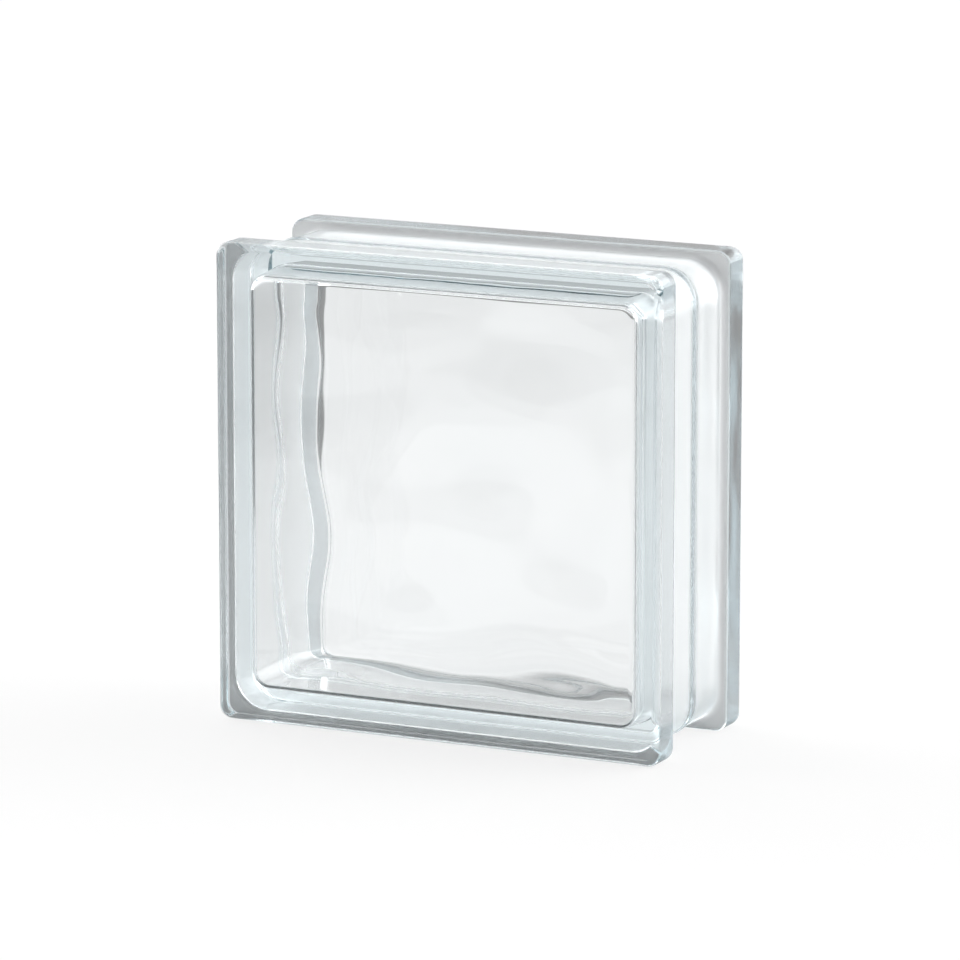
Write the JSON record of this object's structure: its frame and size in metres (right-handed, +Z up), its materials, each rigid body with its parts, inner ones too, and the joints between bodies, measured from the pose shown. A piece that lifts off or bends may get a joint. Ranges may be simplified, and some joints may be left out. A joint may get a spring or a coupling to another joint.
{
  "type": "glass block",
  "caption": "Square hollow clear-glass building block with flat lips round both faces, a shallow mortar groove between them and wavy inner faces, for walls that let light through.",
  "frame": {"origin": "middle of the underside, on the plane that the block stands on", "axes": "+Z up, +X along the face to the right, +Y from the front face to the rear face"},
  "size_m": [0.19, 0.08, 0.19],
  "materials": {
    "clear_glass": "clear fire-polished pressed glass with a faint cool grey tint; matt whitish in the mortar groove"
  },
  "bodies": {
    "root": {"glass_block": "clear_glass"}
  },
  "joints": []
}
